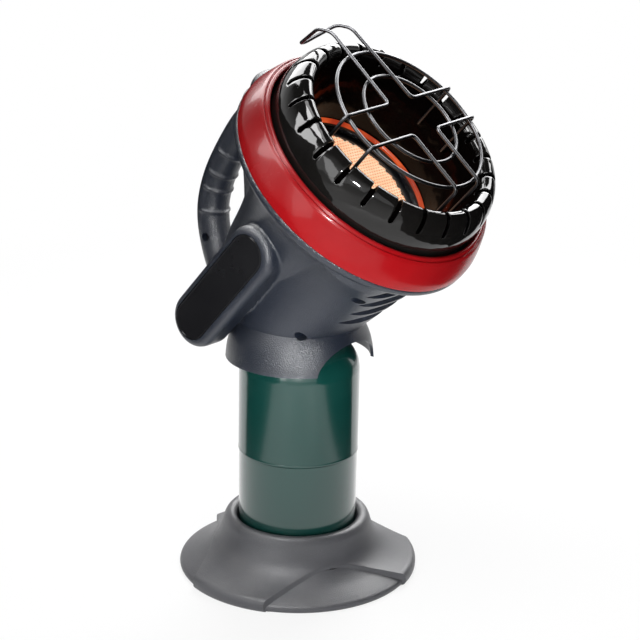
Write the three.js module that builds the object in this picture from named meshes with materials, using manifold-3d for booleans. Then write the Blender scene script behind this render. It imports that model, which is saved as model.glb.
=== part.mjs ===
// Portable propane heater on a one-pound gas cylinder, in millimetres, +Z up.
// The origin is the middle of the foot's underside. The head faces -Y and the handle is at +Y.
import * as THREE from 'three';
import { mergeVertices } from 'three/addons/utils/BufferGeometryUtils.js';
import { LoftGeometry } from 'three/addons/geometries/LoftGeometry.js';
import Module from 'manifold-3d';

const wasm = await Module();
wasm.setup();

// Driving dimensions

const DEG = Math.PI / 180;
const fine = 36; // sides of the large round forms
const middling = 24;
const coarse = 12;
const fit = 0.3; // gap between pieces that rest on each other

// gas cylinder
const tankRadius = 49.3;
const tankBottom = 6.3;
const seamHeight = 103;
const tankTop = 197;
const neckRadius = 12.4;
const neckTop = 213;
const steelWall = 1.2;

// foot
const footRadius = 100;
const socketRadius = 50.4;
const collarTop = 46;
const ribCount = 6;
const lensCount = 3;
const lensFirstAngle = -25.6 * DEG; // from -Y towards +X
const lensCentre = 284.6;
const lensRadius = 216;

// head axis: it leans towards -Y and crosses the cylinder's axis at headPivot
const headTilt = 42 * DEG;
const headPivot = 274.9;

// housing
const wall = 2.5;
const splitGap = 0.15; // each half stops this far from the middle plane
const shroudBottom = 183;
const shroudFloor = 206.5;
const barrelRadius = 50.5;
const barrelBottom = 212;
const bellyWidth = 50; // half the upper oval's width before the flare
const bellyDepth = 90;
const bellyTop = 62;
const bellyFlare = 0.45;
const podFace = 74;
const podHalfWidth = 22.7;
const podRound = 6;
const podRear = -75.2;
const podFront = 10.6;
const podShift = -1.3;
const podRootWidth = 18;
const podRootFace = 56;
const labelDepth = 1.2;
const labelHalfWidth = 15.9;
const labelRear = -76.6;
const labelFront = 9.8;
const labelShift = -0.1;
const rearFace = 78;
const controlHalfWidth = 29;
const screwHead = 3.8;
const louvreCount = 4;
const louvrePitch = 15.8;
const louvreRun = 13;
const louvreDepth = 5.8;

// head
const bezelRear = 85.6;
const bezelRadius = 107.9;
const plateHeight = 76.2;
const ledgeHeight = 79.9;
const ledgeInner = 96;
const dishFloor = 78;
const dishFloorRadius = 63.8;
const rimRadius = 81.2;
const rimTop = 144;
const rimRoll = 7.6;
const dishKnee = [69.6, 108];
const slotCount = 24;
const slotWidth = 3.8;
const tileRadius = 57;
const tileFace = 70;

// wire guard
const guardHeight = 156.3;
const guardWire = 1.4;
const guardRings = [64.4, 41.2];
const guardCorner = 14.8;
const guardReach = 67.6;
const guardClock = 3 * DEG;
const guardCentre = new THREE.Vector2(0.8, 0.6);
const guardFootHeight = 114;

// handle
const handleRadius = 13.4;
const handleRoute = [
  [380, 20], [381, 38], [367, 56], [343, 74], [318, 88], [297, 94.6], [281, 95.5], [262, 92], [243, 85], [222, 74],
];
const knuckleRadius = 16.5;
const knucklePlace = [34, 394];
const gripHeights = [341, 323, 309, 289];
const gripRise = 1.6;

// controls, side by side in the rear face
const controlOffset = 12.6;
const controlHeight = 222;

// Materials

function finish(color, roughness, metalness) {
  return new THREE.MeshStandardMaterial({ color, roughness, metalness });
}

const greyPlastic = finish(0x464a50, 0.5, 0);
const footPlastic = finish(0x58585c, 0.55, 0);
const redEnamel = finish(0xc01c22, 0.25, 0.1);
const blackEnamel = finish(0x0c0c0d, 0.08, 0.1);
const greenPaint = finish(0x1a3c38, 0.25, 0.2);
const blackLabel = finish(0x101010, 0.4, 0);
const steel = finish(0x8c8f94, 0.35, 1);
const darkSteel = finish(0x3a3b3e, 0.45, 1);
const brass = finish(0xb8964e, 0.35, 1);
const zinc = finish(0x9a9ca0, 0.5, 0.9);
const ceramic = finish(0xffb06a, 0.9, 0);
const whiteCeramic = finish(0xe8e4d8, 0.6, 0);
const rubber = finish(0x161616, 0.85, 0);
const redPlastic = finish(0xc8201f, 0.35, 0);
const blackPlastic = finish(0x1b1c1e, 0.5, 0);

// Solids

// A closed geometry as a solid for joins and cuts, with its faces turned outwards
function solid(geometry) {
  const bare = new THREE.BufferGeometry().copy(geometry);
  bare.deleteAttribute('normal');
  bare.deleteAttribute('uv');
  const merged = mergeVertices(bare, 1e-4);
  const points = merged.getAttribute('position');
  const corner = [new THREE.Vector3(), new THREE.Vector3(), new THREE.Vector3()];
  const triangles = [];
  let volume = 0;
  for (let i = 0; i < merged.index.count; i += 3) {
    const face = [0, 1, 2].map((k) => merged.index.getX(i + k));
    if (new Set(face).size < 3) continue;
    face.forEach((vertex, k) => corner[k].fromBufferAttribute(points, vertex));
    volume += corner[0].dot(corner[1].clone().cross(corner[2]));
    triangles.push(face);
  }
  const outward = volume > 0 ? triangles : triangles.map((face) => face.reverse());
  const mesh = new wasm.Mesh({
    numProp: 3,
    vertProperties: new Float32Array(points.array),
    triVerts: new Uint32Array(outward.flat()),
  });
  return new wasm.Manifold(mesh);
}

function geometryOf(body) {
  const mesh = body.getMesh();
  const geometry = new THREE.BufferGeometry();
  geometry.setAttribute('position', new THREE.BufferAttribute(new Float32Array(mesh.vertProperties), 3));
  geometry.setIndex(new THREE.BufferAttribute(new Uint32Array(mesh.triVerts), 1));
  geometry.computeVertexNormals();
  return geometry;
}

function join(...bodies) {
  return bodies.reduce((whole, next) => whole.add(next));
}

function cut(body, ...tools) {
  return tools.reduce((rest, tool) => rest.subtract(tool), body);
}

// The head's frame in the object's frame, and a geometry moved by it
const headFrame = new THREE.Matrix4().makeRotationX(headTilt).setPosition(0, 0, headPivot);

function onHead(geometry) {
  return geometry.applyMatrix4(headFrame);
}

// Points of an arc from angle a to angle b, in degrees
function arc(cx, cy, radius, a, b, steps) {
  const points = [];
  for (let i = 0; i <= steps; i += 1) {
    const angle = (a + ((b - a) * i) / steps) * DEG;
    points.push([cx + radius * Math.cos(angle), cy + radius * Math.sin(angle)]);
  }
  return points;
}

// A profile of [radius, height] points turned about Z; it closes on itself or on the axis
function revolve(profile, segments) {
  const onAxis = profile[0][0] === 0 && profile[profile.length - 1][0] === 0;
  const closed = onAxis ? profile : [...profile, profile[0]];
  const points = closed.map(([r, z]) => new THREE.Vector2(r, z));
  return new THREE.LatheGeometry(points, segments).rotateX(Math.PI / 2);
}

// A disc or ring standing on Z between two heights
function drum(radius, bottom, top, segments) {
  return revolve([[0, bottom], [radius, bottom], [radius, top], [0, top]], segments);
}

function ring(inner, outer, bottom, top, segments) {
  return revolve([[inner, bottom], [outer, bottom], [outer, top], [inner, top]], segments);
}

function block(x0, x1, y0, y1, z0, z1) {
  const box = new THREE.BoxGeometry(x1 - x0, y1 - y0, z1 - z0);
  return box.translate((x0 + x1) / 2, (y0 + y1) / 2, (z0 + z1) / 2);
}

// A round bar along X at height z
function crossBar(radius, x0, x1, y, z, segments = coarse) {
  const bar = drum(radius, x0, x1, segments).rotateY(Math.PI / 2);
  return bar.translate(0, y, z);
}

// A round bar along Y at height z
function deepBar(radius, x, y0, y1, z, segments = coarse) {
  const bar = drum(radius, -y1, -y0, segments).rotateX(Math.PI / 2);
  return bar.translate(x, 0, z);
}

// Corners of a polyline eased into short curves
function eased(points, radius, steps = 3) {
  const route = [points[0]];
  for (let i = 1; i < points.length - 1; i += 1) {
    const before = points[i - 1].clone().sub(points[i]).setLength(radius).add(points[i]);
    const after = points[i + 1].clone().sub(points[i]).setLength(radius).add(points[i]);
    const bend = new THREE.QuadraticBezierCurve3(before, points[i], after);
    route.push(...bend.getPoints(steps));
  }
  route.push(points[points.length - 1]);
  return route;
}

// A section carried along a route of points without twisting; section(i, angle) gives its radius
function tube(route, section, sides, start = new THREE.Vector3(1, 0, 0)) {
  const normal = start.clone();
  const sections = route.map((point, i) => {
    const back = route[Math.max(i - 1, 0)];
    const ahead = route[Math.min(i + 1, route.length - 1)];
    const along = ahead.clone().sub(back).normalize();
    normal.addScaledVector(along, -normal.dot(along)).normalize();
    const side = along.clone().cross(normal);
    const outline = [];
    for (let k = 0; k < sides; k += 1) {
      const angle = (2 * Math.PI * k) / sides;
      const radius = section(i, angle);
      const spot = point.clone().addScaledVector(normal, radius * Math.cos(angle));
      outline.push(spot.addScaledVector(side, radius * Math.sin(angle)));
    }
    return outline;
  });
  return new LoftGeometry(sections, { capStart: true, capEnd: true });
}

function wire(points, radius, bendRadius, sides = 6) {
  return tube(eased(points, bendRadius), () => radius, sides);
}

// A compression spring along Y
function spring(radius, wireRadius, turns, y0, y1, x, z) {
  const stepsPerTurn = 8;
  const route = [];
  for (let i = 0; i <= turns * stepsPerTurn; i += 1) {
    const angle = (2 * Math.PI * i) / stepsPerTurn;
    const y = y0 + ((y1 - y0) * i) / (turns * stepsPerTurn);
    route.push(new THREE.Vector3(x + radius * Math.cos(angle), y, z + radius * Math.sin(angle)));
  }
  return tube(route, () => wireRadius, 5, new THREE.Vector3(1, 0, 0));
}

// The object as a scene graph

const heater = new THREE.Group();
const head = new THREE.Group();
head.position.set(0, 0, headPivot);
head.rotation.x = headTilt;
heater.add(head);

function add(group, name, body, material) {
  const geometry = body.isBufferGeometry ? geometryOf(solid(body)) : geometryOf(body);
  const mesh = new THREE.Mesh(geometry, material);
  mesh.name = name;
  group.add(mesh);
}

// Foot: a moulded dish with a collar for the cylinder, three sunk lens panels and ribs underneath

function footShell() {
  const lip = [[62, 36.5], ...arc(56.4, 42.2, 4, 20, 90, 2), [socketRadius, collarTop]];
  const socket = [[socketRadius, 3], [0, 3]];
  const raisedFlow = [[footRadius - 1, 0], [footRadius, 7.4], [98, 9.6], [88, 13.2], [79, 17.2],
    [71.5, 22], [66, 28.2]];
  const sunkFlow = [[footRadius - 3, 0], [footRadius - 2.3, 5.4], [95.8, 6.9], [88, 9.6], [79, 13.7],
    [71.5, 19.6], [66, 27.2]];
  const raised = solid(revolve([[0, 0], ...raisedFlow, ...lip, ...socket], fine));
  const sunk = solid(revolve([[0, 0], ...sunkFlow, ...lip, ...socket], fine));
  const lenses = [];
  for (let i = 0; i < lensCount; i += 1) {
    const angle = lensFirstAngle + (i * 2 * Math.PI) / lensCount;
    const lens = drum(lensRadius, -1, collarTop + 2, 96);
    lens.translate(lensCentre * Math.sin(angle), -lensCentre * Math.cos(angle), 0);
    lenses.push(solid(lens));
  }
  const underside = [[55.4, -1], [92.4, -1], [92.4, 3.6], [77, 10.6], [69, 16.4], [63.2, 24.4], [58.6, 38],
    [55.4, 41.6]];
  return cut(sunk.add(cut(raised, ...lenses)), solid(revolve(underside, middling)));
}

function footRibs() {
  const ribs = [];
  const profile = new THREE.Shape([[54, 1], [93.5, 1], [93.5, 4], [78, 11], [64, 24.5], [54, 40]]
    .map(([r, z]) => new THREE.Vector2(r, z)));
  for (let i = 0; i < ribCount; i += 1) {
    const rib = new THREE.ExtrudeGeometry(profile, { depth: 1.8, bevelEnabled: false }).translate(0, 0, -0.9);
    rib.rotateX(Math.PI / 2);
    ribs.push(solid(rib.rotateZ((i * 2 * Math.PI) / ribCount)));
  }
  return ribs;
}

const tankPad = solid(ring(29, 36, 2.5, tankBottom - fit, 32));
add(heater, 'base_foot', join(footShell(), tankPad, ...footRibs()), footPlastic);

// Gas cylinder: two drawn cups lapped at the seam, a threaded neck, its valve core and the relief valve

const neckHole = neckRadius + 0.6;
const shoulder = arc(tankRadius - 22, 174.6, 22, 0, 60, 4);
const shoulderInside = arc(tankRadius - 22, 174.6, 22 - steelWall, 60, 0, 2);

const upperCup = [
  [tankRadius, seamHeight + fit], ...shoulder, [26, 196.6], [neckHole, tankTop], [neckHole, tankTop - steelWall],
  ...shoulderInside, [tankRadius - steelWall, seamHeight + fit],
];
const lap = tankRadius - steelWall - fit;
const lowerCup = [
  [0, 9.4], [22, 8.6], [31, tankBottom], [37, tankBottom], [44.6, 9.6], [48, 15.6], [48.8, 22],
  [48.8, seamHeight - 1], [lap, seamHeight], [lap, seamHeight + 9], [lap - steelWall, seamHeight + 9],
  [lap - steelWall, seamHeight - 1], [48.8 - steelWall, seamHeight - 3], [48.8 - steelWall, 22.4],
  [43.9, 10.7], [31.2, 7.5], [0, 10.6],
];
add(heater, 'cylinder_upper_cup', revolve(upperCup, fine), greenPaint);
add(heater, 'cylinder_lower_cup', revolve(lowerCup, fine), greenPaint);

const neckProfile = [
  [4.6, 192], [neckRadius, 192], [neckRadius, 199], [11.4, 200], [11.4, 201],
  [neckRadius, 202], [neckRadius, neckTop - 1.2], [neckRadius - 1.2, neckTop], [4.6, neckTop],
];
add(heater, 'cylinder_valve_neck', revolve(neckProfile, coarse), brass);
add(heater, 'cylinder_valve_core', join(
  solid(drum(4.3, 198, 208, 16)), solid(drum(1.4, 207, 211.5, 10))), brass);
const reliefValve = join(solid(drum(3.6, 197.1, 201, 6)), solid(drum(2.4, 200.5, 203, 12)));
add(heater, 'cylinder_relief_valve', geometryOf(reliefValve).translate(0, 27, 0), brass);

// Housing outline: a bell about the head's axis, a barrel that swells down to the shroud, the two pods
// with their labels, the control block, the shroud over the cylinder's shoulder and the handle

const bellProfile = [
  [0, -63], [36, -58], [47, -47], [52.5, -30], [58.5, 5], [68.5, 36], [81, 58.5], [96, 73],
  [105, 77], [107.8, 80.4], [107.4, bezelRear - fit], [0, bezelRear - fit],
];
const bellInside = [
  [0, -60.2], [37, -52], [49, -32], [55.6, 5], [65, 36], [79, 61], [91, 73.8], [ledgeInner, ledgeHeight],
  [104.9, ledgeHeight], [104.9, bezelRear + 1], [0, bezelRear + 1],
];

// Rings between a level circle about the cylinder's axis and a tilted, boxy oval under the bell.
// The sides rise almost straight and flare where they meet the bell; levels are shares of the way up.
function barrel(inset, bottom, levels) {
  const sides = 32;
  const boxiness = 3.5;
  const flareOnset = 2.85;
  const sections = levels.map((t) => {
    const flare = 1 + bellyFlare * Math.min(t, 1) ** flareOnset;
    const outline = [];
    for (let k = 0; k < sides; k += 1) {
      const angle = (2 * Math.PI * k) / sides;
      const out = new THREE.Vector3(Math.cos(angle), Math.sin(angle), 0);
      const boxy = (Math.abs(out.x) ** boxiness + Math.abs(out.y) ** boxiness) ** (-1 / boxiness);
      const low = out.clone().multiplyScalar(barrelRadius - inset).setZ(bottom);
      const high = new THREE.Vector3(out.x * boxy * (bellyWidth - inset), out.y * boxy * (bellyDepth - inset),
        bellyTop).applyMatrix4(headFrame);
      const spot = low.lerp(high, t);
      spot.x *= flare;
      outline.push(spot);
    }
    return outline;
  });
  return solid(new LoftGeometry(sections, { capStart: true, capEnd: true }));
}

// A stadium across the body: its outline follows the head's axis, its ends face left and right
function pod(halfWidth, x0, x1, round = 0, [shift, rear, front] = [podShift, podRear, podFront]) {
  const outline = new THREE.Shape();
  const radius = halfWidth - round;
  outline.absarc(shift, rear, radius, Math.PI, 2 * Math.PI);
  outline.absarc(shift, front, radius, 0, Math.PI);
  const depth = x1 - x0 - 2 * round;
  const options = { depth, curveSegments: 5, bevelEnabled: round > 0 };
  Object.assign(options, { bevelThickness: round, bevelSize: round, bevelSegments: 2 });
  const body = new THREE.ExtrudeGeometry(outline, options);
  // the shape's x is the head's second axis, its y runs along the head's axis and its depth along X
  const turn = new THREE.Matrix4().set(0, 0, 1, x0 + round, 1, 0, 0, 0, 0, 1, 0, 0, 0, 0, 0, 1);
  return solid(onHead(body.applyMatrix4(turn)));
}

// The control block: a rounded box across the back, between the pods
function controlBlock(inset) {
  const outline = new THREE.Shape([[24, 198], [72, 198], [rearFace, 205], [rearFace, 238], [70, 250],
    [60, 258], [24, 258]].map(([y, z]) => new THREE.Vector2(y, z)));
  const halfWidth = controlHalfWidth - inset;
  const options = { depth: 2 * halfWidth, bevelEnabled: false };
  const body = new THREE.ExtrudeGeometry(outline, options).translate(0, 0, -halfWidth);
  const turn = new THREE.Matrix4().set(0, 0, 1, 0, 1, 0, 0, 0, 0, 1, 0, 0, 0, 0, 0, 1);
  body.applyMatrix4(turn);
  if (inset > 0) {
    const middle = new THREE.Vector3(0, 51, 228);
    const shrink = new THREE.Vector3(1, 1 - inset / 27, 1 - inset / 30);
    body.translate(0, -middle.y, -middle.z).scale(shrink.x, shrink.y, shrink.z);
    body.translate(0, middle.y, middle.z);
  }
  return solid(body);
}

const shroudOutside = [
  [0, shroudBottom], [59.8, shroudBottom], [59.2, 193], [57, 202.4], [53.6, 210], [49.4, 216], [0, 219],
];
const shroudWell = [
  [0, shroudBottom - 1], [57.3, shroudBottom - 1], [56.7, 193], [54.4, 201.6], [51.6, shroudFloor],
  [0, shroudFloor],
];
// the arch cut in the front of the shroud shows the cylinder's shoulder
function shroudArch() {
  const arch = new THREE.Shape();
  arch.absellipse(0, shroudBottom - 3, 36, 25, 0, Math.PI);
  const body = new THREE.ExtrudeGeometry(arch, { depth: 60, bevelEnabled: false, curveSegments: 10 });
  return solid(body.rotateX(Math.PI / 2));
}

// The handle: a round bar with finger ribs on its inner side and a rounded knuckle at its top root
function handleBar() {
  const spots = handleRoute.map(([z, y]) => new THREE.Vector3(0, y, z));
  const route = new THREE.CatmullRomCurve3(spots).getSpacedPoints(40);
  const offset = (spot, z) => (spot.y > 70 ? Math.abs(spot.z - z) : Infinity);
  const ribs = gripHeights.map((z) => {
    const offsets = route.map((spot) => offset(spot, z));
    return offsets.indexOf(Math.min(...offsets));
  });
  const section = (i, angle) => {
    const inner = Math.max(0, Math.cos(angle - Math.PI / 2));
    return handleRadius + (ribs.includes(i) ? gripRise * Math.sqrt(inner) : 0);
  };
  const knuckle = new THREE.SphereGeometry(knuckleRadius, 16, 10).translate(0, ...knucklePlace);
  return join(solid(tube(route, section, coarse)), solid(knuckle));
}

// Screw columns across the split, as [y, z, depth of the screw's head, reach of the column]
const screwPlaces = [
  ['handle_screw', 92.5, 267, 7, 0],
  ['chin_screw', -91, 256.5, 12, 6.4],
  ['shroud_screw', -34, 215.4, 14, 5.6],
];

function screwColumn(y, z, radius, outside) {
  return solid(crossBar(radius, -60, 60, y, z)).intersect(outside);
}

function screwHoles(y, z, seat) {
  const mouth = solid(crossBar(screwHead, -90, -seat, y, z));
  return mouth.add(solid(crossBar(2.1, -seat - 1, 14, y, z, 12)));
}

// Louvres under the chin let the burner draw air: sloped fins, with a wedge cut down to each of them.
// Places are [distance up the chin from the louvre's lower edge, height over the chin's surface].
const chinFoot = new THREE.Vector3(0, -67, 226);
const chinSlope = Math.atan2(0.6445, -0.7647);

function chinPrism(outline, halfWidth, index) {
  const shape = new THREE.Shape(outline.map(([u, v]) => new THREE.Vector2(u, v)));
  const body = new THREE.ExtrudeGeometry(shape, { depth: 2 * halfWidth, bevelEnabled: false });
  const turn = new THREE.Matrix4().set(0, 0, 1, -halfWidth, 1, 0, 0, 0, 0, 1, 0, 0, 0, 0, 0, 1);
  body.applyMatrix4(turn).rotateX(chinSlope);
  const reach = louvrePitch * index;
  const spot = chinFoot.clone().add(new THREE.Vector3(0, reach * Math.cos(chinSlope), reach * Math.sin(chinSlope)));
  return solid(body.translate(spot.x, spot.y, spot.z));
}

function louvres(bell, outside) {
  const finSheet = 2.6;
  const floorTop = [louvreRun + 2, (2 * louvreDepth) / louvreRun];
  const wedge = [[0, -louvreDepth], floorTop, [louvreRun + 2, 6], [0, 6]];
  const fin = [[0, -louvreDepth - finSheet], [louvreRun + 2, floorTop[1] - finSheet], floorTop, [0, -louvreDepth]];
  const fins = [];
  const wedges = [];
  for (let i = 0; i < louvreCount; i += 1) {
    fins.push(chinPrism(fin, 40, i).intersect(outside));
    wedges.push(chinPrism(wedge, 44, i).subtract(bell));
  }
  return { fins, wedges };
}

function housing() {
  const bell = solid(onHead(revolve(bellProfile, fine)));
  const shroud = solid(revolve(shroudOutside, fine));
  const podBase = podRootFace - 8;
  const pods = join(pod(podRootWidth, -podRootFace, podRootFace),
    pod(podHalfWidth, -podFace, -podBase, podRound), pod(podHalfWidth, podBase, podFace, podRound));
  const belly = barrel(0, barrelBottom, [0, 0.35, 0.65, 0.85, 1, 1.15]);
  const outside = join(bell, belly, shroud, pods, controlBlock(0), handleBar());
  const { fins, wedges } = louvres(bell, belly);

  const barrelNeck = solid(drum(barrelRadius - 5, shroudFloor + wall, barrelBottom + 12, middling));
  const hollow = join(solid(onHead(revolve(bellInside, middling))), barrel(wall, barrelBottom + 5, [0, 0.5, 0.8, 1]),
    barrelNeck, pod(podRootWidth - wall, -(podFace - wall), podFace - wall), controlBlock(wall));
  const shroudCore = solid(drum(62, shroudBottom - 2, shroudFloor + wall, middling));
  const well = solid(revolve(shroudWell, middling));
  let shell = cut(outside, hollow.subtract(shroudCore), well);

  const columns = screwPlaces.filter((place) => place[4] > 0)
    .map(([, y, z, , radius]) => screwColumn(y, z, radius, outside));
  shell = join(shell, ...columns, ...fins);
  const holes = screwPlaces.map(([, y, z, seat]) => screwHoles(y, z, seat));
  const inletHole = solid(drum(18.8, shroudFloor - 2, shroudFloor + wall + 1, 32));
  const startHole = solid(deepBar(10.5, -controlOffset, 68, 90, controlHeight, coarse));
  const offHole = solid(deepBar(8, controlOffset, 68, 90, controlHeight, coarse));
  return cut(shell, ...holes, inletHole, startHole, offHole, shroudArch(), ...wedges);
}

// Shallow seats in the pod faces take the label plates
function label(halfWidth, x0, x1) {
  return pod(halfWidth, x0, x1, 0, [labelShift, labelRear, labelFront]);
}

const shell = cut(housing(), label(labelHalfWidth + fit, -podFace - 1, -podFace + labelDepth),
  label(labelHalfWidth + fit, podFace - labelDepth, podFace + 1));
const leftSide = solid(block(-150, -splitGap, -200, 200, 100, 500));
const rightSide = solid(block(splitGap, 150, -200, 200, 100, 500));
add(heater, 'housing_left', shell.intersect(leftSide), greyPlastic);
add(heater, 'housing_right', shell.intersect(rightSide), greyPlastic);

const labelFloor = podFace - labelDepth + fit;
add(heater, 'label_plate_left', label(labelHalfWidth, -podFace, -labelFloor), blackLabel);
add(heater, 'label_plate_right', label(labelHalfWidth, labelFloor, podFace), blackLabel);

for (const [name, y, z, seat] of screwPlaces) {
  const pan = solid(crossBar(3.2, -seat - 2.4 - fit, -seat - fit, y, z, 16));
  const shank = solid(crossBar(1.7, -seat - 1, 11, y, z, 10));
  const slot = solid(block(-seat - 4, -seat - 1.8, y - 0.4, y + 0.4, z - 5, z + 5));
  add(heater, name, cut(pan.add(shank), slot), darkSteel);
}

// Head: everything below stands in the head's frame, where Z is the way the heater faces

const bezelProfile = [
  [105.4, bezelRear], [bezelRadius, bezelRear], [107.3, 92], [105, 100.4], [100, 112], [98, 113.2],
  [95.4, 112.4], [94.3, 103], [96.6, 103], [97.4, 110.4], [98.8, 109.6], [102.5, 100.4], [104.8, 92],
];
add(head, 'bezel_ring', revolve(bezelProfile, fine), redEnamel);

// The stepped mounting plate lies on the housing's ledge and carries the dish, the burner and the pilot
const pilotReach = -72;
const plateRim = ledgeHeight + fit;
const plateSheet = 1.2;
const plateProfile = [
  [60.8, plateHeight], [90, plateHeight], [ledgeInner, plateRim], [104.6, plateRim],
  [104.6, plateRim + plateSheet], [ledgeInner - 0.5, plateRim + plateSheet], [89.5, plateHeight + plateSheet],
  [60.8, plateHeight + plateSheet],
];
const mountingPlate = cut(
  solid(revolve(plateProfile, middling)),
  solid(block(-13, 13, pilotReach - 5, pilotReach + 5, plateHeight - 2, plateHeight + 3)),
);
add(head, 'mounting_plate', mountingPlate, darkSteel);

// The dish: one pressing whose wall rises from the burner, rolls outwards over the rim and comes back down
const dishSheet = 1.1;

function dishLine(offset) {
  const roll = arc(rimRadius, rimTop - rimRoll, rimRoll - offset, 15, 165, 3);
  return [
    [92.6 - offset, 107], [93 - offset, 124],
    ...roll,
    [dishKnee[0] + offset, dishKnee[1]],
    [dishFloorRadius + offset, dishFloor + offset], [61 + offset, dishFloor - fit + offset],
  ];
}

function dishSlots() {
  const slots = [];
  for (let i = 0; i < slotCount; i += 1) {
    const turn = (i * 2 * Math.PI) / slotCount;
    const body = join(
      solid(block(rimRadius - 12, rimRadius + 5, -slotWidth / 2, slotWidth / 2, rimTop - 9, rimTop + 4)),
      solid(block(rimRadius + 4, rimRadius + 14, -slotWidth / 2, slotWidth / 2, rimTop - 15, rimTop + 4)),
    );
    slots.push(solid(geometryOf(body).rotateZ(turn)));
  }
  return slots;
}

const dishProfile = [...dishLine(0), ...dishLine(dishSheet).reverse()];
const pilotWindow = solid(block(-10, 10, -90, -50, dishFloor + 4, dishFloor + 16));
const dishForm = revolve(dishProfile, 2 * slotCount).rotateZ(Math.PI / (2 * slotCount));
const dish = cut(solid(dishForm), ...dishSlots(), pilotWindow);
add(head, 'reflector_dish', dish, blackEnamel);

// Burner: a pan fed by the mixer tube, a porous ceramic tile and the ring that holds it
const panProfile = [
  [11.8, 52.4], [44, 54.6], [56.4, 59.6], [58.4, 62.6], [58.4, 71.2], [60.2, 71.2],
  [60.2, 61.8], [57.6, 58.2], [44.6, 53.2], [11.8, 51.2],
];
add(head, 'burner_pan', revolve(panProfile, middling), darkSteel);
add(head, 'burner_tile', drum(tileRadius, 63.4, tileFace, middling), ceramic);
add(head, 'tile_retaining_ring', ring(54.6, 60, 71.5, 73, middling), darkSteel);
add(head, 'tile_gasket', ring(52, tileRadius, 61.6, 63.1, middling), whiteCeramic);
const mixerProfile = [
  [16, -12], [11, -6], [9, 6], [11.4, 40], [11.4, 50.9], [20, 50.9], [20, 49.7], [12.6, 49.7],
  [12.6, 40], [10.2, 6], [12, -5.4], [17, -11.6],
];
add(head, 'mixer_tube', revolve(mixerProfile, coarse), steel);
add(head, 'gas_jet', cut(
  join(solid(drum(5, -27, -20.5, 6)), solid(revolve([[0, -21], [3.6, -21], [2.2, -14.5], [0, -14.5]], 16))),
  solid(drum(0.6, -19, -14, 8))), brass);

// Pilot, flame sensor and spark electrode in a bracket below the burner
const pilotSeat = plateHeight - fit;
const pilotPlate = cut(
  solid(block(-15, 15, pilotReach - 6, pilotReach + 6, pilotSeat - 1.5, pilotSeat)),
  solid(drum(3.6, 60, 90, 16).translate(0, pilotReach, 0)),
  solid(drum(2, 60, 90, 12).translate(8, pilotReach, 0)),
  solid(drum(3, 60, 90, 12).translate(-8, pilotReach, 0)),
);
add(head, 'pilot_bracket', pilotPlate, steel);
add(head, 'pilot_tube', cut(solid(drum(3.3, 62, 83, 16)), solid(drum(1.8, 70, 84, 12)))
  .translate(0, pilotReach, 0), brass);
add(head, 'thermocouple', join(solid(drum(1.7, 60, 88, 12)), solid(drum(3, 60, 66, 12)))
  .translate(8, pilotReach, 0), steel);
add(head, 'spark_electrode', join(solid(drum(2.7, 61, 82, 12)), solid(drum(0.8, 81, 88, 8)))
  .translate(-8, pilotReach, 0), whiteCeramic);

// Wire guard: two rings under three bent wires; the wire over the top ends in a hooked loop
const ringHeight = guardHeight - 2 * guardWire - fit;
const ringNames = ['guard_outer_ring', 'guard_inner_ring'];
guardRings.forEach((radius, i) => {
  const torus = new THREE.TorusGeometry(radius, guardWire, 6, 32);
  add(head, ringNames[i], torus.translate(guardCentre.x, guardCentre.y, ringHeight), steel);
});

// A place in the guard's own square axes, turned and shifted to where the guard sits on the dish
function guardSpot(x, y, z) {
  const spot = new THREE.Vector2(x, y).rotateAround(new THREE.Vector2(), guardClock).add(guardCentre);
  return new THREE.Vector3(spot.x, spot.y, z);
}

// The foot of a leg leans against the dish's wall below the bend at (x, y)
function guardFoot(x, y) {
  const throat = rimRadius - rimRoll;
  const rise = (guardFootHeight - dishKnee[1]) / (rimTop - rimRoll - dishKnee[1]);
  const wallRadius = dishKnee[0] + (throat - dishKnee[0]) * rise;
  const foot = guardSpot(x, y, 0).setLength(wallRadius - guardWire - 2 * fit);
  return foot.setZ(guardFootHeight);
}

function guardLeg(x, y) {
  return [guardFoot(x, y), guardSpot(x, y, guardHeight)];
}

const near = guardCorner;
const far = guardReach;
const overRim = [
  guardSpot(1 - near, 86, guardHeight), guardSpot(2 - near, 97, 148), guardSpot(-1.5, 106, 120),
  guardSpot(4, 106, 120), guardSpot(near - 4, 97, 148), guardSpot(near - 4, 86, guardHeight),
];
const topWire = [
  ...guardLeg(-far, near), guardSpot(-near, near, guardHeight), ...overRim,
  guardSpot(near, near, guardHeight), ...guardLeg(far, near).reverse(),
];
const leftWire = [
  ...guardLeg(-far, -near), guardSpot(-near, -near, guardHeight), ...guardLeg(-near, -far).reverse(),
];
const rightWire = [
  ...guardLeg(far, -near), guardSpot(near, -near, guardHeight), ...guardLeg(near, -far).reverse(),
];
add(head, 'guard_top_wire', wire(topWire, guardWire, 4), steel);
add(head, 'guard_left_wire', wire(leftWire, guardWire, 4), steel);
add(head, 'guard_right_wire', wire(rightWire, guardWire, 4), steel);

// Gas train: inlet fitting on the cylinder's neck, seal, regulator with its valve arm, and the tube to the jet

const floorTop = shroudFloor + wall;
const inletProfile = [
  [neckRadius + 0.6, 200.5], [17.6, 200.5], [17.6, floorTop + fit], [24, floorTop + fit], [24, floorTop + 3],
  [20, floorTop + 3], [20, 219], [3, 219], [3, 216.4], [neckRadius + 0.6, 216.4],
];
add(heater, 'inlet_fitting', revolve(inletProfile, coarse), zinc);
add(heater, 'inlet_seal', ring(6, 11.4, neckTop + fit, 216.4 - fit, coarse), rubber);

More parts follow.
